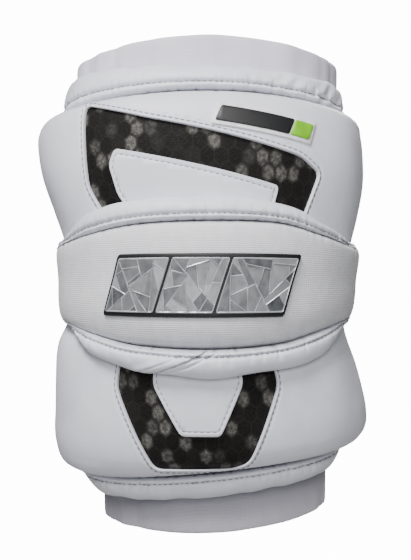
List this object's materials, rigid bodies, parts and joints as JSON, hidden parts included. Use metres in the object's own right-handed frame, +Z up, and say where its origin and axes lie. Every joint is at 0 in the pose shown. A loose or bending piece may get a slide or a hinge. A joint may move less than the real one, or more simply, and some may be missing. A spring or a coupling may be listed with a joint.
{
  "type": "elbow pad",
  "caption": "Padded elbow guard on a bent open sleeve, with pads above and below the elbow, dark windows and a domed cap across it.",
  "frame": {"origin": "middle of the arm hollow at the elbow line, where the arm carries the sleeve", "axes": "+Z up the arm towards the upper rim, -Y out of the front where the cap is, +X to the right seen from the front"},
  "size_m": [0.1802, 0.1285, 0.2715],
  "materials": {
    "knit": "fine pale lilac-grey stretch knit",
    "cover_leather": "smooth pale grey synthetic leather, soft sheen",
    "woven_cover": "pale grey fine ribbed nylon",
    "dark_mesh": "near-black hexagonal mesh over grey dots",
    "silver_foil": "silver film pressed in facets",
    "black_rubber": "satin moulded",
    "green_rubber": "satin moulded"
  },
  "bodies": {
    "root": {"sleeve": "knit", "upper_pad": "cover_leather", "upper_mesh": "dark_mesh", "upper_island": "cover_leather", "upper_binding": "cover_leather", "lower_pad": "cover_leather", "lower_mesh": "dark_mesh", "lower_island": "cover_leather", "lower_binding": "cover_leather", "elbow_cap": "woven_cover", "cap_top_border": "cover_leather", "cap_bottom_binding": "cover_leather", "badge_backing": "black_rubber", "badge_block_1": "silver_foil", "badge_block_2": "silver_foil", "badge_block_3": "silver_foil", "label_bar": "black_rubber", "label_end": "green_rubber"}
  },
  "joints": []
}
